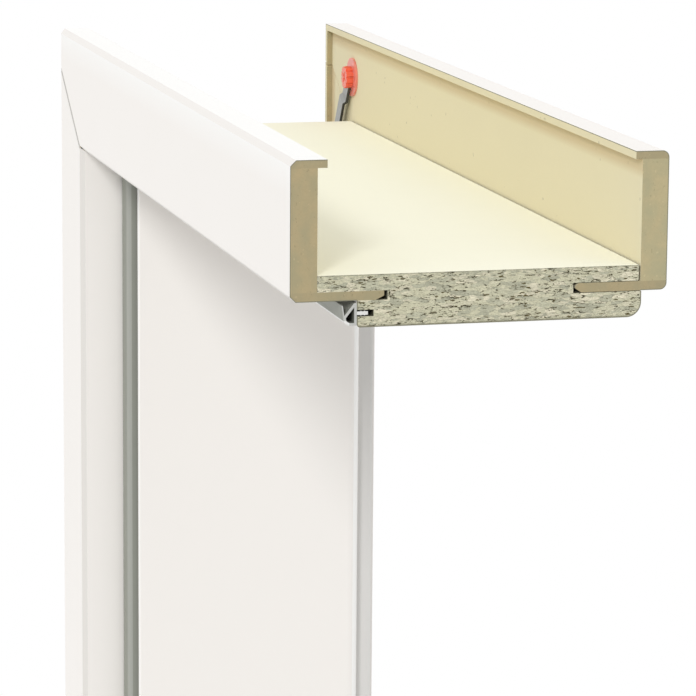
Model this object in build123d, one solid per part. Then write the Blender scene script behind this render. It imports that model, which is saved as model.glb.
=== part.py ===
from build123d import *
import math
import os

# A wrap-around frame for an inner door, shown as a cut-away corner: one whole jamb
# stands on the floor, and the head is sawn off a short way past the corner.
# Millimetres. X runs across the doorway, Y through the wall from front to rear, Z up.
# The origin lies on the wall-side face of the jamb lining, at floor level, half way
# between the two faces of the wall.

# Doorway
rebate_height = 1983.0
head_length = 485.0
wall_thickness = 135.0

# Casings
casing_width = 60.0
casing_thickness = 11.8
lip_thickness = 3.5
tongue_thickness = 4.0
foil_thickness = 0.4
front_lip_projection = 4.2
rear_lip_projection = 3.0
tongue_reach = 29.0
tongue_top_bevel = 1.2
tongue_tip_bevel = 1.8
tongue_nose = 0.3
front_chamfer = 2.5
rear_edge_round = 3.0
joint_rise = 39.0
joint_gap = 0.7

# Lining
lining_thickness = 22.0
film_thickness = 0.5
rebate_step = 11.5
rebate_depth = 29.0
stop_round = 1.5
rear_round = 6.5
front_groove_spare = 1.5
rear_groove_spare = 1.0
slide_clearance = 0.25
rear_gap = 0.8
rear_overhang = 0.5

# Seal
seal_wall = 1.1
seal_top = 1.0
seal_bottom = 10.6
seal_bulb_depth = 5.8
seal_knee_drop = 6.9
seal_round = 3.0
seal_lip_lean = 0.8
seal_lip_wall = 0.5
seal_stem_length = 4.8
seal_stem_thickness = 1.5
seal_barb = 0.4
seal_groove_drop = 4.0
seal_groove_width = 2.8
seal_groove_depth = 7.3

# Corner connectors
connector_share = 0.38
connector_half_span = 24.8
flange_radius = 10.5
flange_thickness = 1.2
boss_radius = 6.0
boss_height = 5.2
boss_grooves = 10
boss_groove_radius = 0.7
driver_slot_length = 7.0
driver_slot_width = 1.2
driver_slot_depth = 1.2
shank_radius = 5.0
shank_depth = 8.0
hole_clearance = 0.1
tie_width = 8.0
tie_thickness = 1.5
tie_low = 1.6
tie_crank = 1.5
tie_overlap = 4.0
anchor_radius = 6.0
stud_radius = 3.0
stud_head_radius = 4.5
stud_head_thickness = 1.5

# Places worked out from the sizes above
lining_back = lining_thickness + film_thickness - rebate_step
front_lip_edge = casing_thickness + front_lip_projection
rear_board_face = front_lip_edge + wall_thickness + rear_lip_projection
frame_depth = rear_board_face + casing_thickness
frame_top = rebate_height + casing_width
corner_x = lining_back
front_y = -(front_lip_edge + wall_thickness / 2)
tongue_end = casing_thickness + tongue_reach
lip_line = casing_width - lip_thickness

# The same section serves the head and the jamb. Its first coordinate is the depth behind
# the front face and its second the rise from the door rebate towards the wall.
head_plane = Plane(
    origin=(corner_x - casing_width, front_y, rebate_height), x_dir=(0, 1, 0), z_dir=(1, 0, 0)
)
jamb_plane = Plane(origin=(corner_x, front_y, 0), x_dir=(0, 1, 0), z_dir=(0, 0, 1))


def joint_plane(rise, offset=0.0):
    """The plane in which head and jamb meet, moved towards the head by an offset."""
    across = Vector(rise, 0, casing_width).normalized()
    start = Vector(corner_x, front_y, rebate_height) + across * offset
    return Plane(origin=start, z_dir=across)


def rectangle(low_depth, high_depth, low_rise, high_rise):
    width = high_depth - low_depth
    height = high_rise - low_rise
    centre = Pos((low_depth + high_depth) / 2, (low_rise + high_rise) / 2)
    return centre * Rectangle(width, height)


def corner_of(section, depth, rise):
    return section.vertices().sort_by_distance((depth, rise, 0))[0]


def head_bar(section, rise=casing_width, gap=0.0):
    bar = extrude(head_plane * section, casing_width + head_length)
    return split(bar, bisect_by=joint_plane(rise, gap / 2), keep=Keep.TOP)


def jamb_bar(section, rise=casing_width, gap=0.0):
    bar = extrude(jamb_plane * section, frame_top)
    return split(bar, bisect_by=joint_plane(rise, -gap / 2), keep=Keep.BOTTOM)


# Casings

def on_side(side, section):
    """A section drawn from the outer face inwards, put on the front or the rear."""
    if side == "front":
        return section
    return Pos(frame_depth, 0) * mirror(section, about=Plane.YZ)


def lip_projection(side):
    return front_lip_projection if side == "front" else rear_lip_projection


def casing_outline(side):
    board = rectangle(0, casing_thickness, 0, casing_width)
    lip = rectangle(0, casing_thickness + lip_projection(side), lip_line, casing_width)
    tongue = rectangle(0, tongue_end, 0, tongue_thickness)
    slope = tongue_thickness - tongue_nose
    if side == "rear":
        tongue = chamfer(corner_of(tongue, tongue_end, tongue_thickness), tongue_top_bevel)
        slope -= tongue_top_bevel
    tongue = chamfer(corner_of(tongue, tongue_end, 0), slope, tongue_tip_bevel)
    return board + lip + tongue


def wrapped_body(side, inset, low=0.0):
    """What the foil wraps, as a block with its outer edges bevelled in front, rounded behind."""
    body = rectangle(inset, frame_depth, low + inset, casing_width - inset)
    corners = [corner_of(body, inset, rise) for rise in (low + inset, casing_width - inset)]
    if side == "front":
        return chamfer(corners, front_chamfer - inset * (2 - math.sqrt(2)))
    return fillet(corners, rear_edge_round - inset)


def casing_bar(member, side, section):
    bar = head_bar if member == "head" else jamb_bar
    return bar(on_side(side, section), joint_rise, joint_gap)


def left_end(side, inset):
    """The room within the outer edge of the jamb, which shapes the left end of the head."""
    block = on_side(side, wrapped_body(side, inset, -2 * head_length))
    return extrude(jamb_plane * block, frame_top + casing_width)


def lip_return(side, low_rise, high_rise):
    """The lip's short way down the left end of the head, above the joint with the jamb."""
    end = casing_thickness + lip_projection(side)
    section = on_side(side, rectangle(casing_thickness, end, low_rise, high_rise))
    bar = extrude(jamb_plane * section, rebate_height + lip_line)
    return split(bar, bisect_by=joint_plane(joint_rise, joint_gap / 2), keep=Keep.TOP)


def casing(member, side):
    """The board, lip strip, tongue strip and foil of one casing."""
    outline = casing_outline(side) & wrapped_body(side, 0)
    bare_from = rebate_depth if side == "front" else casing_thickness
    bare_tongue = rectangle(bare_from, frame_depth, 0, tongue_thickness)
    wood = outline & (wrapped_body(side, foil_thickness) + bare_tongue)
    sections = {
        "": wood & rectangle(0, casing_thickness, tongue_thickness, lip_line),
        "_lip": wood & rectangle(0, frame_depth, lip_line, casing_width),
        "_tongue": wood & rectangle(0, frame_depth, 0, tongue_thickness),
        "_foil": outline - wood,
    }
    pieces = {name: casing_bar(member, side, section) for name, section in sections.items()}
    if member == "head":
        wood_end = left_end(side, foil_thickness)
        foil_line = casing_width - foil_thickness
        inside = casing_bar(member, side, wood) & wood_end
        whole = casing_bar(member, side, outline) & left_end(side, 0)
        for name in ("", "_lip", "_tongue"):
            pieces[name] &= wood_end
        pieces["_lip"] += lip_return(side, lip_line, foil_line)
        pieces["_foil"] = whole - inside + lip_return(side, foil_line, casing_width)
    return pieces


# Lining and its film

def passage_block(inset):
    """The part of the lining below the tongues, with its stop and its rounded rear edge."""
    front = rebate_depth + inset
    rear = rear_board_face + rear_overhang - inset
    bottom = inset - rebate_step
    body = rectangle(front, rear, bottom, 0)
    body = fillet(corner_of(body, front, bottom), stop_round - inset)
    return fillet(corner_of(body, rear, bottom), rear_round - inset)


def tongue_grooves():
    front = rectangle(casing_thickness, tongue_end + front_groove_spare, 0, tongue_thickness)
    rear = rectangle(
        rear_board_face - tongue_reach - rear_groove_spare,
        frame_depth,
        -slide_clearance,
        tongue_thickness + slide_clearance,
    )
    return front + rear


def seal_groove():
    return rectangle(
        rebate_depth,
        rebate_depth + seal_groove_depth,
        -seal_groove_drop - seal_groove_width,
        -seal_groove_drop,
    )


def lining_section():
    upper = rectangle(casing_thickness, rear_board_face - rear_gap, 0, lining_back)
    return upper + passage_block(film_thickness) - tongue_grooves() - seal_groove()


def film_section():
    return passage_block(0) - passage_block(film_thickness) - tongue_grooves() - seal_groove()


# Seal

def seal_section():
    front = rebate_depth - seal_bulb_depth
    outer = Polyline(
        (rebate_depth, -seal_top),
        (rebate_depth - seal_wall, -seal_top),
        (front, -seal_knee_drop),
        (front, -seal_bottom),
        (rebate_depth, -seal_bottom),
        close=True,
    )
    outer = make_face(outer)
    outer = fillet(corner_of(outer, front, -seal_bottom), seal_round)
    front_lip = Polyline(
        (front, -seal_knee_drop),
        (front - seal_lip_lean, -2 * seal_top),
        (front - seal_lip_lean + seal_lip_wall, -2 * seal_top),
        (front + seal_lip_wall, -seal_knee_drop),
        close=True,
    )
    return outer - offset(outer, -seal_wall) + make_face(front_lip) + seal_stem()


def seal_stem():
    middle = -seal_groove_drop - seal_groove_width / 2
    half = seal_stem_thickness / 2
    start = rebate_depth - seal_wall / 2
    stem = rectangle(start, rebate_depth + seal_stem_length, middle - half, middle + half)
    barb_length = seal_stem_length / 3
    barb_half = half + seal_barb
    for tip in (2 * barb_length, 3 * barb_length):
        base = rebate_depth + tip - barb_length
        corners = (base, middle - barb_half), (base, middle + barb_half)
        stem += make_face(Polyline((rebate_depth + tip, middle), *corners, close=True))
    return stem


# Corner connectors

def connector_frame(board_face, towards):
    """The plane on a casing's inner face, with x along the tie and z away from the board."""
    along = Vector(-casing_width, 0, joint_rise)
    across = Vector(joint_rise, 0, casing_width)
    start = Vector(corner_x, front_y + board_face, rebate_height)
    return Plane(origin=start + along * connector_share, x_dir=across, z_dir=(0, towards, 0))


def disc(radius, low, high, along=0.0):
    return Pos(along, 0, (low + high) / 2) * Cylinder(radius, high - low)


def tie_slot():
    start = connector_half_span - boss_radius
    end = connector_half_span + tie_overlap
    middle = Pos((start + end) / 2, 0, tie_low + tie_thickness / 2)
    width = tie_width + 2 * hole_clearance
    return middle * Box(end - start, width, tie_thickness + 2 * hole_clearance)


def connector_housing():
    place = connector_half_span
    body = disc(flange_radius, 0, flange_thickness, place)
    body += disc(boss_radius, flange_thickness, boss_height, place)
    body += disc(shank_radius, -shank_depth, 0, place)
    groove = disc(boss_groove_radius, flange_thickness, boss_height, boss_radius)
    for index in range(boss_grooves):
        body -= Pos(place, 0) * Rot(0, 0, 360 * (index + 0.5) / boss_grooves) * groove
    driver_slot = Box(driver_slot_length, driver_slot_width, 2 * driver_slot_depth)
    for angle in (0, 90):
        body -= Pos(place, 0, boss_height) * Rot(0, 0, angle) * driver_slot
    return body - tie_slot()


def tie_profile():
    """The tie seen from its edge: along the tie, and up from the board."""
    near = connector_half_span + tie_overlap / 2
    far = -connector_half_span - tie_overlap
    knee = connector_half_span / 3
    low = tie_low
    high = tie_low + tie_crank
    lean = tie_thickness / 2
    lower = [(near, low), (knee + tie_crank, low), (knee, high), (far, high)]
    upper = [
        (far, high + tie_thickness),
        (knee + lean, high + tie_thickness),
        (knee + tie_crank + lean, low + tie_thickness),
        (near, low + tie_thickness),
    ]
    return make_face(Polyline(*lower, *upper, close=True))


def connector_tie():
    bar = extrude(Plane.XZ * tie_profile(), tie_width / 2, both=True)
    eye = disc(stud_radius + hole_clearance, 0, 2 * boss_height, -connector_half_span)
    return bar - eye


def connector_anchor():
    place = -connector_half_span
    seat = tie_low + tie_crank
    collar = seat + tie_thickness
    body = disc(anchor_radius, 0, seat, place)
    body += disc(stud_radius, seat, collar, place)
    body += disc(stud_head_radius, collar, collar + stud_head_thickness, place)
    return body + disc(shank_radius, -shank_depth, 0, place)


def shank_hole(along):
    return disc(shank_radius + hole_clearance, -shank_depth - hole_clearance, 0, along)


def save(name, shape):
    shape.label = name
    export_step(shape, os.path.join("parts", name + ".step"))


def main():
    os.makedirs("parts", exist_ok=True)
    for side in ("front", "rear"):
        if side == "front":
            place = connector_frame(casing_thickness, 1)
        else:
            place = connector_frame(rear_board_face, -1)
        for member in ("head", "jamb"):
            pieces = casing(member, side)
            along = connector_half_span if member == "head" else -connector_half_span
            pieces[""] -= place * shank_hole(along)
            for ending, piece in pieces.items():
                save(member + "_" + side + "_casing" + ending, piece)
        save(side + "_corner_housing", place * connector_housing())
        save(side + "_corner_tie", place * connector_tie())
        save(side + "_corner_anchor", place * connector_anchor())

    head_grooves = head_bar(tongue_grooves(), joint_rise)
    save("head_lining", head_bar(lining_section()))
    save("jamb_lining", jamb_bar(lining_section()) - head_grooves)
    for ending, section in (("_lining_film", film_section()), ("_seal", seal_section())):
        save("head" + ending, head_bar(section))
        save("jamb" + ending, jamb_bar(section))


main()
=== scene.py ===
from math import atan2, pi, radians

import bpy
from bpy.props import FloatProperty, FloatVectorProperty, PointerProperty
from mathutils import Matrix, Vector


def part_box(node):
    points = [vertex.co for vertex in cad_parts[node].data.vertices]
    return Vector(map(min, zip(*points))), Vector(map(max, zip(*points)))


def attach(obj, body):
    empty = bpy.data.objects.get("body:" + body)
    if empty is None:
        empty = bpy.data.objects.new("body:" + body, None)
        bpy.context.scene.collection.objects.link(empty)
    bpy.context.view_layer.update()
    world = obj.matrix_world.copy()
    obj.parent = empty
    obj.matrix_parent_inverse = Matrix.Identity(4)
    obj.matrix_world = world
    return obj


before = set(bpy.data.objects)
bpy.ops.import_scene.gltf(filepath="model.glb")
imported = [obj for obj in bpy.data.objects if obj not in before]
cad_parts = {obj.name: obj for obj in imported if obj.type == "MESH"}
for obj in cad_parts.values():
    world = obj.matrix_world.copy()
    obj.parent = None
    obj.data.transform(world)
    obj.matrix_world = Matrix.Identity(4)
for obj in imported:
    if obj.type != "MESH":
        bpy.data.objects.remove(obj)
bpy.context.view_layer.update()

bl_info = {
    "name": "Wrap-around door frame",
    "version": (1, 0, 0),
    "blender": (4, 5, 0),
    "location": "3D View > Sidebar > Door frame",
    "description": "Dresses a cut-away corner of an inner door frame and lights it",
    "category": "Object",
}

X, Y, Z = range(3)

# The rebate line is where the casings' inner edges lie: a height on the head, an X on the jamb.
REBATE_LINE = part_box("jamb_lining_film")[1].z
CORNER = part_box("jamb_front_casing_foil")[1].x
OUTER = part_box("head_front_casing_foil")[0].x
CASING_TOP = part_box("head_front_casing_foil")[1].z

# How far over the rebate line the casings' boards end under their lips.
LIP_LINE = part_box("head_rear_casing")[1].z - REBATE_LINE
# The boards' faces towards the lining, which the fittings' flanges lie on.
FRONT_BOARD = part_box("head_front_casing")[1].y
REAR_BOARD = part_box("head_rear_casing")[0].y
# The end of the seals' stems.
SEAL_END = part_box("head_seal")[1].y

# Distances in the patterns of the linings, from the middle of the board's thickness.
PAPER_DEPTH = 0.0107
DARK_RIM_DEPTH = 0.0106
OUTER_LAYER_END = 0.0122
LAYER_WANDER = 0.002

# Distances in the other patterns.
# Where the painted shade under the lips starts below them, and how far it fades in.
LIP_SHADE_START = 0.0085
LIP_SHADE_FADE = 0.005
HIGHLIGHT_FADE = 0.016
JOINT_FADE = 0.0014
FLANGE_BAND = 0.0026
SEAL_SHADE_START = 0.0107
SEAL_SHADE_FADE = 0.006
SEAL_RIM_PLACE = 0.0095
SEAL_RIM_WIDTH = 0.003
SEAL_RIM_RISE = -0.0086
SEAL_STEM_LENGTH = 0.0047

# How ragged the outlines of the chips and of the dark streaks between them are.
CHIP_RAGGEDNESS = 0.0022
STREAK_RAGGEDNESS = 0.0014

# Scales of the patterns, in cells per metre, each the same every way or given for X, Y and Z.
SCALES = {
    "fibre": 900.0,
    "cloud": (95.0, 95.0, 80.0),
    "fluff": (700.0, 520.0, 520.0),
    "scratch": (130.0, 900.0, 520.0),
    "warmth": 14.0,
    "specks": 210.0,
    "chip_rags": (300.0, 240.0, 300.0),
    "layer": (300.0, 120.0, 300.0),
    "grain": (2600.0, 900.0, 2600.0),
    "gap_patches": (620.0, 240.0, 900.0),
    "streak_rags": (500.0, 400.0, 500.0),
    "streaks": (900.0, 230.0, 1150.0),
    "streak_spread": (210.0, 130.0, 210.0),
    "paper": 60.0,
    "film_cloud": (6.0, 6.0, 1.5),
    "peel": 260.0,
    "gloss": 30.0,
    "bloom": (90.0, 90.0, 20.0),
    "seal_streaks": (40.0, 1800.0, 40.0),
    "flow": 160.0,
    "cast": 500.0,
    "lumps": 700.0,
    "floor_cloud": 3.0,
}

# The glue beads: share of the joint's length, distance kept from both ends, rows of cuts.
BEAD_SHARE = 0.96
BEAD_INSET = 0.0006
BEAD_CUTS = 11

FLOOR_PLACE = (0.2, 0.0, -0.0004)
FLOOR_CORNERS = 96
KEY_DIRECTION = Vector((0.78, -0.42, 0.46))
KEY_DISTANCE = 4.0
KEY_ANGLE = radians(12.0)
SENSOR_WIDTH = 36.0
CAMERA_CLIP = (0.01, 50.0)


def colour(name, description, value):
    return FloatVectorProperty(
        name=name,
        description=description,
        default=value,
        min=0.0,
        max=1.0,
        size=3,
        subtype="COLOR",
    )


def size(name, description, value):
    return FloatProperty(
        name=name, description=description, default=value, min=0.0, unit="LENGTH", precision=5
    )


def light(name, description, value):
    return FloatProperty(
        name=name, description=description, default=value, min=0.0, subtype="FACTOR"
    )


def turn(name, description, degrees):
    return FloatProperty(
        name=name, description=description, default=radians(degrees), unit="ROTATION"
    )


class DoorFrameColours(bpy.types.PropertyGroup):
    fibre_front: colour(
        "Sawn front board", "Front casing's board where the saw cut it", (0.480, 0.386, 0.216)
    )
    fibre_rear: colour(
        "Sawn rear board", "Rear casing's board where the saw cut it", (0.525, 0.446, 0.255)
    )
    strip_sawn: colour(
        "Sawn strips", "Lip and tongue strips where the saw cut them", (0.44, 0.36, 0.205)
    )
    fibre_face: colour(
        "Fibreboard face", "Pressed face of the fibreboard", (0.785, 0.720, 0.500)
    )
    # Painted shade on the pressed faces close under the lips.
    fibre_lip_shade: colour(
        "Fibreboard corner", "Glue-stained face close under the lips", (0.62, 0.50, 0.30)
    )
    chip_pale: colour("Pale chips", "Pinkish pale chips of the lining", (0.78, 0.735, 0.56))
    chip_main: colour("Main chips", "Most of the chips of the lining", (0.70, 0.68, 0.495))
    chip_cool: colour("Cool chips", "Greenish grey chips of the lining", (0.625, 0.62, 0.465))
    chip_bark: colour("Bark", "Brown bark and the rims of the hollows", (0.25, 0.20, 0.075))
    # Painted shade in the hollows between the chips and in the grooves.
    chip_hollow_shade: colour("Gaps", "Dark hollows between the chips", (0.03, 0.028, 0.006))
    paper: colour(
        "Backing paper", "Cream paper on the wall side of the lining", (0.98, 0.968, 0.808)
    )
    film: colour("Decor film", "White film on lining and casings", (0.925, 0.893, 0.855))
    # Painted highlight on the linings' rounded edges and towards the front casing's top.
    film_highlight: colour(
        "Whiter film",
        "Film on the linings' rounded edges and at the front casing's top",
        (0.97, 0.965, 0.945),
    )
    # Painted shade over the rounded edges of the head's and the jamb's casings.
    film_rim_shade: colour(
        "Film over edges", "Film on the rounded edges of the head's casings", (0.84, 0.81, 0.775)
    )
    film_upright_shade: colour(
        "Film over upright edges",
        "Film on the rounded edges of the jamb's casings",
        (0.73, 0.705, 0.67),
    )
    # Painted shade on the upright edges of the rear casings.
    film_side_shade: colour(
        "Greyer film", "Film on the upright edges of the rear casings", (0.72, 0.71, 0.69)
    )
    joint: colour(
        "Joint line", "Shaded line along the joint of the front casings", (0.20, 0.19, 0.17)
    )
    film_edge: colour("Film edge", "Cut edge of the films", (0.22, 0.21, 0.14))
    seal: colour("Seal", "Soft grey door seal", (0.295, 0.305, 0.265))
    # Paler rubber on the sawn face and stem, and the painted highlight along the seal's lower
    # rim.
    seal_pale_and_highlight: colour(
        "Seal skin", "Paler rubber of the sawn seal and its stem", (0.86, 0.86, 0.84)
    )
    housing: colour("Housing", "Red plastic of the corner fittings", (0.88, 0.15, 0.08))
    flange: colour(
        "Flange", "The thin translucent flange of the red plastic", (0.80, 0.27, 0.23)
    )
    tie: colour("Tie", "Grey tie of the corner fittings", (0.39, 0.395, 0.38))
    # Glue painted dark as the shade in the joint of the front casings.
    glue: colour("Glue", "Dark glue in the joint of the front casings", (0.06, 0.05, 0.04))
    floor: colour("Floor", "Plain pale floor", (0.82, 0.82, 0.80))


class DoorFrameSizes(bpy.types.PropertyGroup):
    chip_length: size("Chip length", "Length of a chip along the board", 0.0050)
    chip_thickness: size("Chip thickness", "Thickness of a chip", 0.0014)
    fine_layer: size("Fine layer", "Depth of the finer chips under each face", 0.0028)
    joint_rise: size("Joint rise", "Rise of the casings' joint over their width", 0.039)
    joint_gap: size("Joint gap", "Thickness of the glue between the casings", 0.0007)
    floor_radius: size("Floor radius", "Radius of the floor", 2.4)
    light_low: light("Light all round", "Light from every side", 0.1)
    light_above: light("Light above", "More light from above", 0.61)
    light_front: light("Light in front", "More light in front", 0.82)
    light_rear: light("Light behind", "More light behind", 0.86)
    key_strength: light("Key light", "Strength of the key light", 1.17)
    camera_place: FloatVectorProperty(
        name="Camera place",
        description="Where the camera stands",
        default=(2.0047, -0.4457, 2.2560),
        subtype="XYZ",
        unit="LENGTH",
    )
    camera_heading: turn(
        "Camera heading", "Direction that the camera looks in, turned from the X axis", 165.595
    )
    camera_pitch: turn("Camera pitch", "How far the camera looks up", -10.655)
    camera_roll: turn("Camera roll", "Roll of the camera", 0.437)
    camera_lens: FloatProperty(
        name="Lens", description="Focal length", default=195.24, unit="CAMERA"
    )


def shade(tint):
    """A colour as the four numbers of a node's socket, or the wire that carries one."""
    if hasattr(tint, "is_output"):
        return tint
    return (tint[0], tint[1], tint[2], 1.0)


def tinted(tint, factor):
    """That colour made darker or lighter, at most white."""
    return [min(1.0, factor * channel) for channel in tint]


def casing_joint(sizes):
    """The inner end of the casings' joint, and the way that it runs to its outer end."""
    return Vector((CORNER, 0.0, REBATE_LINE)), Vector((OUTER - CORNER, 0.0, sizes.joint_rise))


def square_to(way):
    """The direction in the X-Z plane at right angles to a way in it."""
    return Vector((way.z, 0.0, -way.x)).normalized()


class Nodes:
    """A node tree to which each call adds a node, wired to what is passed to it."""

    def __init__(self, tree):
        self.tree = tree
        self.tree.nodes.clear()

    def add(self, kind):
        return self.tree.nodes.new(kind)

    def wire(self, source, socket):
        """Link a wire to the socket, or set the socket to a constant."""
        if hasattr(source, "is_output"):
            self.tree.links.new(source, socket)
        elif source is not None:
            socket.default_value = source

    def math(self, operation, a, b=None, c=None):
        node = self.add("ShaderNodeMath")
        node.operation = operation
        for value, socket in zip((a, b, c), node.inputs):
            self.wire(value, socket)
        return node.outputs[0]

    def axis(self, source, index):
        node = self.add("ShaderNodeSeparateXYZ")
        self.wire(source, node.inputs[0])
        return node.outputs[index]


class Recipe(Nodes):
    """The nodes of one material, whose patterns lie on its Object coordinates."""

    def __init__(self, name):
        self.material = bpy.data.materials.new(name)
        self.material.use_nodes = True
        super().__init__(self.material.node_tree)
        self.output = self.add("ShaderNodeOutputMaterial")
        place = self.add("ShaderNodeTexCoord")
        self.place = place.outputs["Object"]
        self.normal = place.outputs["Normal"]

    # Numbers

    def clamp(self, value, low, high):
        return self.math("MINIMUM", self.math("MAXIMUM", value, low), high)

    def inverse(self, share):
        return self.math("SUBTRACT", 1.0, share)

    def both(self, a, b):
        return self.math("MULTIPLY", a, b)

    def either(self, a, b):
        return self.math("MAXIMUM", a, b)

    def ramp_up(self, value, start, length):
        """0 at the start, 1 a length further on, and on in that line either way."""
        return self.math("DIVIDE", self.math("SUBTRACT", value, start), length)

    def band(self, value, middle, width):
        """1 within a band of that width."""
        away = self.math("ABSOLUTE", self.math("SUBTRACT", value, middle))
        return self.math("LESS_THAN", away, width / 2)

    def spots(self, pattern, threshold, strength):
        """The strength wherever the pattern is over the threshold."""
        return self.both(self.math("GREATER_THAN", pattern, threshold), strength)

    # Places

    def reach(self, source, way):
        """How far a place or a normal reaches along a way in the X-Z plane."""
        share = self.both(self.axis(source, X), way.x)
        rise = self.both(self.axis(source, Z), way.z)
        return self.math("ADD", share, rise)

    def facing(self, index):
        """1 where the surface faces along that axis, either way."""
        along = self.math("ABSOLUTE", self.axis(self.normal, index))
        return self.math("GREATER_THAN", along, 0.9)

    def across(self, way):
        """1 where the surface lies along that way in the X-Z plane, as a mitre face does."""
        along = self.math("ABSOLUTE", self.reach(self.normal, square_to(way)))
        return self.math("GREATER_THAN", along, 0.97)

    def scaled(self, scale, place=None):
        """Object coordinates, or another place, at a pattern's own scale."""
        node = self.add("ShaderNodeMapping")
        node.inputs["Scale"].default_value = scale
        self.wire(place or self.place, node.inputs["Vector"])
        return node.outputs[0]

    # Patterns

    def noise_node(self, pattern, detail, roughness=None):
        scale = SCALES[pattern]
        if isinstance(scale, float):
            scale = (scale, scale, scale)
        node = self.add("ShaderNodeTexNoise")
        node.inputs["Scale"].default_value = 1.0
        node.inputs["Detail"].default_value = detail
        self.wire(roughness, node.inputs["Roughness"])
        self.wire(self.scaled(scale), node.inputs["Vector"])
        return node

    def noise(self, pattern, detail=3.0, roughness=0.55):
        return self.noise_node(pattern, detail, roughness).outputs["Fac"]

    def warped(self, pattern, reach):
        """Object coordinates pushed about by noise, so that a pattern's outlines get ragged."""
        push = self.add("ShaderNodeVectorMath")
        push.operation = "MULTIPLY_ADD"
        self.wire(self.noise_node(pattern, 3.0).outputs["Color"], push.inputs[0])
        push.inputs[1].default_value = (reach, reach, reach)
        self.wire(self.place, push.inputs[2])
        return push.outputs[0]

    def cells(self, vector, feature="F1"):
        node = self.add("ShaderNodeTexVoronoi")
        node.feature = feature
        node.inputs["Scale"].default_value = 1.0
        self.wire(vector, node.inputs["Vector"])
        return node

    # Colours

    def mix(self, share, a, b, blend="MIX"):
        node = self.add("ShaderNodeMix")
        node.data_type = "RGBA"
        node.blend_type = blend
        self.wire(share, node.inputs["Factor"])
        self.wire(shade(a), node.inputs[6])
        self.wire(shade(b), node.inputs[7])
        return node.outputs[2]

    def ramp(self, value, stops):
        node = self.add("ShaderNodeValToRGB")
        elements = node.color_ramp.elements
        while len(elements) < len(stops):
            elements.new(1.0)
        for element, (position, tint) in zip(elements, stops):
            element.position = position
            element.color = shade(tint)
        self.wire(value, node.inputs[0])
        return node.outputs[0]

    def mottled(self, tint, pattern, share, factor, over=None):
        """A tint, or what it lies over, with a darker or lighter one where the pattern is."""
        return self.mix(
            self.both(pattern, share), tint if over is None else over, tinted(tint, factor)
        )

    # Surface

    def bump(self, height, strength, distance):
        node = self.add("ShaderNodeBump")
        node.inputs["Strength"].default_value = strength
        node.inputs["Distance"].default_value = distance
        self.wire(height, node.inputs["Height"])
        return node.outputs[0]

    def finish(self, base, roughness, normal=None, **constants):
        shader = self.add("ShaderNodeBsdfPrincipled")
        self.wire(shade(base), shader.inputs["Base Color"])
        self.wire(roughness, shader.inputs["Roughness"])
        self.wire(normal, shader.inputs["Normal"])
        for name, value in constants.items():
            shader.inputs[name.replace("_", " ")].default_value = value
        self.wire(shader.outputs[0], self.output.inputs[0])
        return self.material


def head_rise(recipe):
    """How far over the rebate line a place on the head is."""
    return recipe.math("SUBTRACT", recipe.axis(recipe.place, Z), REBATE_LINE)


def jamb_rise(recipe):
    """How far outside the rebate line a place on the jamb is."""
    return recipe.math("SUBTRACT", CORNER, recipe.axis(recipe.place, X))


# Each member with the axes that its saw cut and its wall side face along, and its rise.
MEMBERS = (("head", X, Z, head_rise), ("jamb", Z, X, jamb_rise))


def dress(names, material):
    for name in names:
        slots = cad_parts[name].material_slots
        if not slots:
            raise RuntimeError(name + " has no material slot")
        for slot in slots:
            slot.material = material


def paint_fibreboard(name, sawn_tint, colours, saw_axes, rise_of=None, joint=None):
    """Fibreboard, sawn across the given axes and paler on its pressed faces.

    With a rise, the faces get painted shade close under the lips. With the way of a joint,
    the mitre faces along it are browner.
    """
    recipe = Recipe(name)
    sawn = 0.0
    for saw_axis in saw_axes:
        sawn = recipe.either(sawn, recipe.facing(saw_axis))

    fibre = recipe.noise("fibre", 5.0, 0.7)
    stops = [(0.25, tinted(sawn_tint, 0.92)), (0.5, sawn_tint), (0.78, tinted(sawn_tint, 1.06))]
    cut = recipe.ramp(fibre, stops)
    cloud = recipe.noise("cloud", 4.0)
    cloud = recipe.ramp(cloud, [(0.36, (0.0, 0.0, 0.0)), (0.64, (1.0, 1.0, 1.0))])
    warmer = [channel * share for channel, share in zip(sawn_tint, (0.85, 0.92, 0.97))]
    cut = recipe.mix(recipe.axis(cloud, X), cut, warmer)
    fluff = recipe.spots(recipe.noise("fluff", 2.0), 0.7, 0.2)
    cut = recipe.mix(fluff, cut, tinted(sawn_tint, 1.6))
    scratches = recipe.spots(recipe.noise("scratch", 2.0), 0.69, 0.4)
    cut = recipe.mix(scratches, cut, tinted(sawn_tint, 0.5))

    face_tint = colours.fibre_face
    face = recipe.mottled(face_tint, recipe.noise("warmth"), 0.35, 0.86)
    face = recipe.mottled(face_tint, fibre, 0.2, 0.8, over=face)
    specks = recipe.spots(recipe.noise("specks", 1.0), 0.765, 0.4)
    face = recipe.mix(specks, face, tinted(face_tint, 0.45))
    if rise_of is not None:
        # Painted shade on the pressed faces, darker towards the lips.
        lip_shade = recipe.ramp_up(rise_of(recipe), LIP_LINE - LIP_SHADE_START, LIP_SHADE_FADE)
        face = recipe.mix(recipe.clamp(lip_shade, 0.0, 0.75), face, colours.fibre_lip_shade)

    base = recipe.mix(sawn, face, cut)
    if joint is not None:
        base = recipe.mix(recipe.across(joint), base, tinted(sawn_tint, 1.25))
    return recipe.finish(base, 0.85, recipe.bump(fibre, 0.3, 0.0002))


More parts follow.
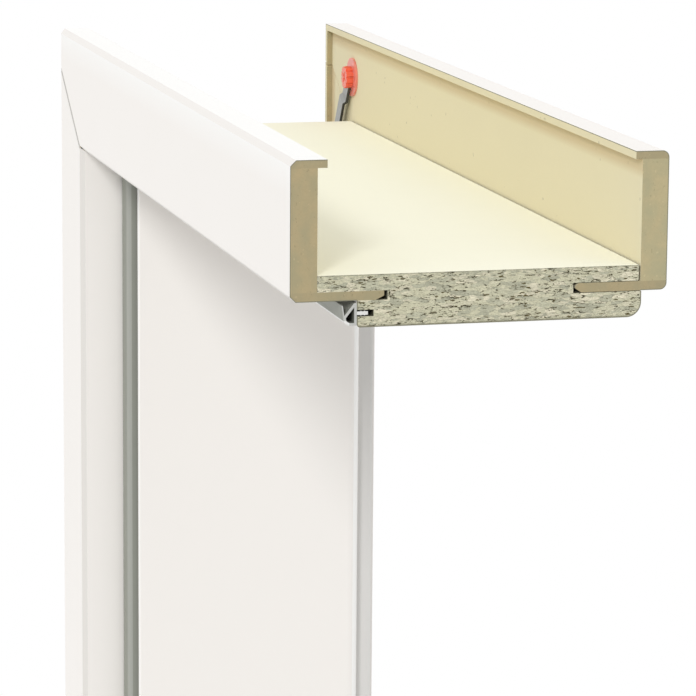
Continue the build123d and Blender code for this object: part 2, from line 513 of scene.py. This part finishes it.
def paint_chipboard(name, colours, sizes, wall_axis, saw_axis, rise_of):
    """Coarse chips on the cut faces, finer under both faces, and cream paper on the wall side."""
    recipe = Recipe(name)
    depth = recipe.math("ABSOLUTE", rise_of(recipe))
    papered = recipe.both(
        recipe.facing(wall_axis), recipe.math("GREATER_THAN", depth, PAPER_DEPTH)
    )
    groove = recipe.inverse(recipe.either(papered, recipe.facing(saw_axis)))

    # The chips: two sizes of cell, each cell in one tint of the range.
    thin = 1.0 / sizes.chip_thickness
    long = 1.0 / sizes.chip_length
    ragged = recipe.warped("chip_rags", CHIP_RAGGEDNESS)
    coarse_place = recipe.scaled((thin, long, thin), ragged)
    fine_place = recipe.scaled((1.9 * thin, 2.2 * long, 1.9 * thin), ragged)
    coarse = recipe.cells(coarse_place).outputs["Color"]
    fine = recipe.cells(fine_place).outputs["Color"]
    stops = [
        (0.0, tinted(colours.chip_cool, 0.8)),
        (0.22, colours.chip_cool),
        (0.4, colours.chip_main),
        (0.7, tinted(colours.chip_main, 1.08)),
        (0.88, colours.chip_pale),
        (1.0, tinted(colours.chip_pale, 1.2)),
    ]
    wander = recipe.both(recipe.noise("layer"), LAYER_WANDER)
    outer = recipe.math(
        "GREATER_THAN", recipe.math("ADD", depth, wander), OUTER_LAYER_END - sizes.fine_layer
    )
    coarse_chips = recipe.ramp(recipe.axis(coarse, X), stops)
    fine_chips = recipe.ramp(recipe.axis(fine, X), stops)
    chips = recipe.mix(outer, coarse_chips, fine_chips)
    grain = recipe.noise("grain", 5.0, 0.7)
    tone = recipe.ramp(
        grain, [(0.3, (0.66, 0.64, 0.57)), (0.5, (1.0, 1.0, 1.0)), (0.72, (1.16, 1.15, 1.12))]
    )
    chips = recipe.mix(1.0, chips, tone, "MULTIPLY")

    # The hollows, along the cells' edges where a patch of noise opens them, and short streaks:
    # brown rims, painted shade deeper in.
    gaps = 0.0
    for place, start, share in ((coarse_place, 0.53, 1.0), (fine_place, 0.555, 0.9)):
        edges = recipe.cells(place, "DISTANCE_TO_EDGE").outputs["Distance"]
        patches = recipe.noise("gap_patches", 3.0, 0.7)
        limit = recipe.both(recipe.math("SUBTRACT", patches, start), 0.9)
        gap = recipe.math("SMOOTH_MIN", recipe.math("SUBTRACT", limit, edges), 0.07, 0.04)
        gaps = recipe.either(gaps, recipe.either(recipe.both(gap, share / 0.07), 0.0))
    streak_rags = recipe.warped("streak_rags", STREAK_RAGGEDNESS)
    streaks = recipe.cells(recipe.scaled(SCALES["streaks"], streak_rags)).outputs["Distance"]
    streaks = recipe.math("LESS_THAN", streaks, 0.3)
    spread = recipe.math("GREATER_THAN", recipe.noise("streak_spread", 2.0), 0.56)
    gaps = recipe.either(gaps, recipe.both(recipe.both(streaks, spread), 0.75))
    bark = recipe.math("MINIMUM", recipe.both(gaps, 1.8), 1.0)
    chips = recipe.mix(bark, chips, colours.chip_bark)
    # Painted shade, near black, deep in the hollows.
    deep = recipe.either(recipe.math("SUBTRACT", recipe.both(gaps, 2.0), 1.0), 0.0)
    chips = recipe.mix(deep, chips, colours.chip_hollow_shade)

    # The dark line close under both faces, painted shade in the grooves, and the paper.
    rim = recipe.spots(depth, DARK_RIM_DEPTH, 0.45)
    chips = recipe.mix(rim, chips, colours.film_edge)
    chips = recipe.mix(recipe.both(groove, 0.75), chips, colours.chip_hollow_shade)
    paper = recipe.mottled(colours.paper, recipe.noise("paper", 6.0), 0.12, 0.85)
    base = recipe.mix(papered, chips, paper)

    height = recipe.mix(outer, recipe.axis(coarse, Y), recipe.axis(fine, Y))
    height = recipe.math("SUBTRACT", recipe.axis(height, X), gaps)
    height = recipe.math("ADD", height, recipe.both(grain, 0.6))
    height = recipe.both(height, recipe.inverse(papered))
    return recipe.finish(base, 0.9, recipe.bump(height, 1.0, 0.0009))


def paint_film(
    name, colours, rim_painted_light, saw_axis, joint=None, highlight_top=None, shaded_axis=None, hem=0.0
):
    """White satin film with a dark cut edge, and a given tint over the rounded edges: painted
    shade on the casings, a painted highlight on the linings.

    With a joint, a shaded line runs along it. The film gets a painted highlight that fades in up
    to a given height, and painted shade on the faces across a given axis. A hem of 1 or -1
    darkens the film's cut ends that face forwards or backwards along Y.
    """
    recipe = Recipe(name)
    base = recipe.mottled(colours.film, recipe.noise("film_cloud", 4.0), 0.08, 0.94)
    flat = recipe.either(recipe.facing(X), recipe.facing(Y))
    rim = recipe.inverse(recipe.either(flat, recipe.facing(Z)))
    # A tint of painted light over the rounded edges: painted shade on the casings, a painted
    # highlight on the linings.
    base = recipe.mix(rim, base, rim_painted_light)
    # Painted highlight on the flat faces, fading in up to the given height.
    if highlight_top is not None:
        share = recipe.ramp_up(recipe.axis(recipe.place, Z), highlight_top - HIGHLIGHT_FADE, HIGHLIGHT_FADE)
        share = recipe.both(recipe.clamp(share, 0.0, 1.0), recipe.inverse(rim))
        base = recipe.mix(share, base, colours.film_highlight)
    # Painted shade on the faces across the given axis.
    if shaded_axis is not None:
        base = recipe.mix(recipe.facing(shaded_axis), base, colours.film_side_shade)
    if joint is not None:
        inner, way = joint
        away = recipe.reach(recipe.place, square_to(way))
        away = recipe.math("SUBTRACT", away, inner.dot(square_to(way)))
        line = recipe.inverse(recipe.math("DIVIDE", recipe.math("ABSOLUTE", away), JOINT_FADE))
        line = recipe.math("MINIMUM", recipe.both(line, 1.6), 0.9)
        line = recipe.both(recipe.either(line, 0.0), recipe.facing(Y))
        base = recipe.mix(line, base, colours.joint)

    # The saw cut faces up X on the head and down Z on the jamb.
    cut = recipe.both(recipe.axis(recipe.normal, saw_axis), 1.0 if saw_axis == X else -1.0)
    ends = recipe.both(recipe.axis(recipe.normal, Y), hem)
    cut = recipe.math("GREATER_THAN", recipe.either(cut, ends), 0.9)
    base = recipe.mix(cut, base, colours.film_edge)

    gloss = recipe.math("ADD", 0.38, recipe.both(recipe.noise("gloss"), 0.12))
    return recipe.finish(base, gloss, recipe.bump(recipe.noise("peel", 2.0), 0.05, 0.0001))


def paint_seal(name, colours, saw_axis, rise_of, highlight_share):
    """Soft grey seal with painted shade towards the stop, a painted highlight along its rim and a
    pale sawn stem.
    """
    recipe = Recipe(name)
    along = recipe.axis(recipe.place, Y)
    base = recipe.mottled(colours.seal, recipe.noise("bloom", 5.0), 0.5, 0.78)
    # Painted shade on the seal towards the stop.
    inwards = recipe.ramp_up(along, SEAL_END - SEAL_SHADE_START, SEAL_SHADE_FADE)
    deep = recipe.math("POWER", recipe.either(inwards, 0.0), 2.0)
    base = recipe.mottled(colours.seal, deep, 0.45, 0.3, over=base)
    # Painted highlight along the seal's lower rim.
    rim = recipe.band(along, SEAL_END - SEAL_RIM_PLACE, SEAL_RIM_WIDTH)
    outside = recipe.math("LESS_THAN", rise_of(recipe), SEAL_RIM_RISE)
    base = recipe.mix(recipe.both(recipe.both(rim, highlight_share), outside), base, colours.seal_pale_and_highlight)
    cut = recipe.facing(saw_axis)
    base = recipe.mix(recipe.both(cut, 0.5), base, colours.seal_pale_and_highlight)
    stem = recipe.both(cut, recipe.spots(along, SEAL_END - SEAL_STEM_LENGTH, 0.85))
    base = recipe.mix(stem, base, colours.seal_pale_and_highlight)
    streaks = recipe.bump(recipe.noise("seal_streaks", 2.0), 0.1, 0.0001)
    return recipe.finish(base, 0.5, streaks, Specular_IOR_Level=0.4)


def paint_housing(name, colours):
    """Moulded red plastic, deep in the boss and paler in the thin flange on the board."""
    recipe = Recipe(name)
    flow = recipe.noise("flow")
    base = recipe.mottled(colours.housing, flow, 0.4, 0.8)
    through = recipe.axis(recipe.place, Y)
    flange = recipe.either(
        recipe.band(through, FRONT_BOARD, FLANGE_BAND),
        recipe.band(through, REAR_BOARD, FLANGE_BAND),
    )
    base = recipe.mix(recipe.both(flange, 0.8), base, colours.flange)
    return recipe.finish(
        base,
        recipe.math("ADD", 0.22, recipe.both(flow, 0.15)),
        recipe.bump(flow, 0.08, 0.0002),
        Subsurface_Weight=0.4,
        Subsurface_Radius=(0.004, 0.0012, 0.0008),
        Subsurface_Scale=1.0,
        IOR=1.5,
    )


def paint_tie(name, colours):
    """Satin grey die-cast metal, with painted shade on its narrow sides."""
    recipe = Recipe(name)
    cast = recipe.noise("cast", 4.0)
    base = recipe.mottled(colours.tie, cast, 0.4, 0.7)
    through = recipe.math("ABSOLUTE", recipe.axis(recipe.normal, Y))
    # Painted shade on the narrow sides.
    base = recipe.mix(recipe.math("LESS_THAN", through, 0.6), base, tinted(colours.tie, 0.22))
    roughness = recipe.math("ADD", 0.35, recipe.both(cast, 0.25))
    return recipe.finish(base, roughness, recipe.bump(cast, 0.15, 0.0001), Metallic=0.85)


def paint_glue(name, tint):
    """Glue with a dull uneven surface."""
    recipe = Recipe(name)
    lumps = recipe.noise("lumps")
    base = recipe.mottled(tint, lumps, 0.5, 0.6)
    return recipe.finish(base, 0.6, recipe.bump(lumps, 0.3, 0.0001))


class DressCasings(bpy.types.Operator):
    """Give the casings their bare fibreboard and their white foil"""

    bl_idname = "door_frame.dress_casings"
    bl_label = "Dress the casings"

    def execute(self, context):
        colours = context.scene.door_frame_colours
        inner, way = casing_joint(context.scene.door_frame_sizes)
        # Painted shade over the casings' rounded edges.
        rim_shades = {"head": colours.film_rim_shade, "jamb": colours.film_upright_shade}
        boards = {"front": colours.fibre_front, "rear": colours.fibre_rear}
        foils = {
            # The front foil gets a painted highlight towards the casing's top.
            "front": {"joint": (inner, way), "highlight_top": CASING_TOP, "hem": 1.0},
            # The rear foil gets painted shade on its faces across X.
            "rear": {"shaded_axis": X, "hem": -1.0},
        }
        for member, saw_axis, _, rise_of in MEMBERS:
            strip = paint_fibreboard(
                "strip_" + member, colours.strip_sawn, colours, {X, saw_axis}, joint=way
            )
            for side, sawn in boards.items():
                casing = member + "_" + side + "_casing"
                board = paint_fibreboard("board_" + casing, sawn, colours, [saw_axis], rise_of)
                foil = paint_film(
                    "foil_" + casing, colours, rim_shades[member], saw_axis, **foils[side]
                )
                dress([casing], board)
                dress([casing + "_lip", casing + "_tongue"], strip)
                dress([casing + "_foil"], foil)
        return {"FINISHED"}


class GlueJoints(bpy.types.Operator):
    """Fill the joints between the casings of head and jamb with a thin uneven bead of glue, the
    front one dark as painted shade in the joint
    """

    bl_idname = "door_frame.glue_joints"
    bl_label = "Glue the joints"

    def execute(self, context):
        colours = context.scene.door_frame_colours
        sizes = context.scene.door_frame_sizes
        inner, way = casing_joint(sizes)
        middle = inner + way / 2
        for side, body, glue in (
            # The front bead's dark glue is painted shade for the joint.
            ("front", "fixed_frame", paint_glue("dark_glue_joint_shade", colours.glue)),
            ("rear", "rear_casing_set", paint_glue("pale_glue", colours.fibre_rear)),
        ):
            near, far = (corner.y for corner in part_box("head_" + side + "_casing"))
            bpy.ops.object.select_all(action="DESELECT")
            bpy.ops.mesh.primitive_cube_add(
                size=1.0,
                location=(middle.x, (near + far) / 2, middle.z),
                rotation=(0.0, atan2(way.z, -way.x), 0.0),
                scale=(way.length * BEAD_SHARE, far - near - BEAD_INSET, sizes.joint_gap),
            )
            bead = context.object
            bead.name = side + "_joint_glue"
            bpy.ops.object.transform_apply(location=True, rotation=True, scale=True)
            bpy.ops.object.mode_set(mode="EDIT")
            bpy.ops.mesh.select_all(action="SELECT")
            bpy.ops.mesh.subdivide(number_cuts=BEAD_CUTS)
            bpy.ops.mesh.vertices_smooth(factor=0.3, repeat=1)
            bpy.ops.mesh.normals_make_consistent(inside=False)
            bpy.ops.object.mode_set(mode="OBJECT")
            bpy.ops.object.shade_smooth_by_angle(angle=radians(40.0))
            bead.data.materials.append(glue)
            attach(bead, body)
        return {"FINISHED"}


class DressLinings(bpy.types.Operator):
    """Give the linings their chips, backing paper and film"""

    bl_idname = "door_frame.dress_linings"
    bl_label = "Dress the linings"

    def execute(self, context):
        colours = context.scene.door_frame_colours
        sizes = context.scene.door_frame_sizes
        for member, saw_axis, wall_axis, rise_of in MEMBERS:
            board = paint_chipboard(
                "chipboard_" + member, colours, sizes, wall_axis, saw_axis, rise_of
            )
            # The linings' film gets the painted highlight over its rounded edges.
            film = paint_film("lining_film_" + member, colours, colours.film_highlight, saw_axis)
            dress([member + "_lining"], board)
            dress([member + "_lining_film"], film)
        return {"FINISHED"}


class DressSeals(bpy.types.Operator):
    """Give the door seals their soft grey rubber"""

    bl_idname = "door_frame.dress_seals"
    bl_label = "Dress the seals"

    def execute(self, context):
        colours = context.scene.door_frame_colours
        # How strong the painted highlight along the seals' rims is on head and jamb.
        for (member, saw_axis, _, rise_of), highlight_share in zip(MEMBERS, (0.95, 0.15)):
            seal = paint_seal("seal_" + member, colours, saw_axis, rise_of, highlight_share)
            dress([member + "_seal"], seal)
        return {"FINISHED"}


class DressFittings(bpy.types.Operator):
    """Give the corner fittings their red plastic and grey metal"""

    bl_idname = "door_frame.dress_fittings"
    bl_label = "Dress the corner fittings"

    def execute(self, context):
        colours = context.scene.door_frame_colours
        plastic = paint_housing("red_plastic", colours)
        metal = paint_tie("grey_metal", colours)
        for side in ("front", "rear"):
            dress([side + "_corner_housing", side + "_corner_anchor"], plastic)
            dress([side + "_corner_tie"], metal)
        return {"FINISHED"}


def lay_floor(context, colours, sizes):
    bpy.ops.object.select_all(action="DESELECT")
    bpy.ops.mesh.primitive_circle_add(
        vertices=FLOOR_CORNERS, radius=sizes.floor_radius, fill_type="NGON", location=FLOOR_PLACE
    )
    floor = context.object
    floor.name = "floor"
    bpy.ops.object.transform_apply(location=True, rotation=True, scale=True)
    recipe = Recipe("pale_floor")
    base = recipe.mottled(colours.floor, recipe.noise("floor_cloud"), 0.15, 0.95)
    floor.data.materials.append(recipe.finish(base, 0.8))


def light_world(scene, sizes):
    """Light from all round, above, in front and behind, seen by eye and in gloss as white."""
    world = bpy.data.worlds.new("studio")
    scene.world = world
    world.use_nodes = True
    nodes = Nodes(world.node_tree)
    sky = nodes.add("ShaderNodeTexCoord").outputs["Generated"]
    level = sizes.light_low
    shares = ((Z, sizes.light_above), (Y, -sizes.light_front), (Y, sizes.light_rear))
    for index, share in shares:
        part = nodes.math("MULTIPLY", nodes.axis(sky, index), share)
        level = nodes.math("ADD", nodes.math("MAXIMUM", part, 0.0), level)
    path = nodes.add("ShaderNodeLightPath")
    seen = path.outputs["Is Camera Ray"]
    for ray in ("Is Glossy Ray", "Is Transmission Ray"):
        seen = nodes.math("MAXIMUM", seen, path.outputs[ray])
    choice = nodes.add("ShaderNodeMixShader")
    nodes.wire(seen, choice.inputs[0])
    for strength, socket in ((level, choice.inputs[1]), (1.0, choice.inputs[2])):
        background = nodes.add("ShaderNodeBackground")
        background.inputs["Color"].default_value = (1.0, 1.0, 1.0, 1.0)
        nodes.wire(strength, background.inputs["Strength"])
        nodes.wire(background.outputs[0], socket)
    nodes.wire(choice.outputs[0], nodes.add("ShaderNodeOutputWorld").inputs[0])


def place_key(context, sizes):
    bpy.ops.object.light_add(
        type="SUN",
        location=KEY_DIRECTION * KEY_DISTANCE,
        rotation=KEY_DIRECTION.to_track_quat("Z", "Y").to_euler(),
    )
    key = context.object
    key.name = "key_light"
    key.data.energy = sizes.key_strength
    key.data.angle = KEY_ANGLE


def place_camera(context, sizes):
    aim = Matrix.Rotation(sizes.camera_heading - pi / 2, 4, "Z")
    aim = aim @ Matrix.Rotation(pi / 2 + sizes.camera_pitch, 4, "X")
    aim = aim @ Matrix.Rotation(sizes.camera_roll, 4, "Z")
    bpy.ops.object.camera_add(location=sizes.camera_place, rotation=aim.to_euler())
    camera = context.object
    camera.name = "camera"
    camera.data.sensor_width = SENSOR_WIDTH
    camera.data.lens = sizes.camera_lens
    camera.data.clip_start, camera.data.clip_end = CAMERA_CLIP
    context.scene.camera = camera


class SetStage(bpy.types.Operator):
    """Lay the floor, set the light and the white background, and place the camera"""

    bl_idname = "door_frame.set_stage"
    bl_label = "Set the stage"

    def execute(self, context):
        scene = context.scene
        sizes = scene.door_frame_sizes
        lay_floor(context, scene.door_frame_colours, sizes)
        light_world(scene, sizes)
        place_key(context, sizes)
        place_camera(context, sizes)
        scene.view_settings.view_transform = "Standard"
        return {"FINISHED"}


PIECES = (DressCasings, GlueJoints, DressLinings, DressSeals, DressFittings, SetStage)


class DoorFramePanel(bpy.types.Panel):
    bl_idname = "VIEW3D_PT_door_frame"
    bl_label = "Door frame"
    bl_space_type = "VIEW_3D"
    bl_region_type = "UI"
    bl_category = "Door frame"

    def draw(self, context):
        layout = self.layout
        for group in (context.scene.door_frame_sizes, context.scene.door_frame_colours):
            box = layout.box()
            for name in group.bl_rna.properties.keys():
                if name not in ("rna_type", "name"):
                    box.prop(group, name)
        for piece in PIECES:
            layout.operator(piece.bl_idname)


CLASSES = (DoorFrameColours, DoorFrameSizes, *PIECES, DoorFramePanel)


def register():
    for kind in CLASSES:
        bpy.utils.register_class(kind)
    bpy.types.Scene.door_frame_colours = PointerProperty(type=DoorFrameColours)
    bpy.types.Scene.door_frame_sizes = PointerProperty(type=DoorFrameSizes)


def unregister():
    del bpy.types.Scene.door_frame_sizes
    del bpy.types.Scene.door_frame_colours
    for kind in reversed(CLASSES):
        bpy.utils.unregister_class(kind)


def main():
    register()
    for piece in PIECES:
        group, name = piece.bl_idname.split(".")
        getattr(getattr(bpy.ops, group), name)()


if __name__ == "__main__":
    main()
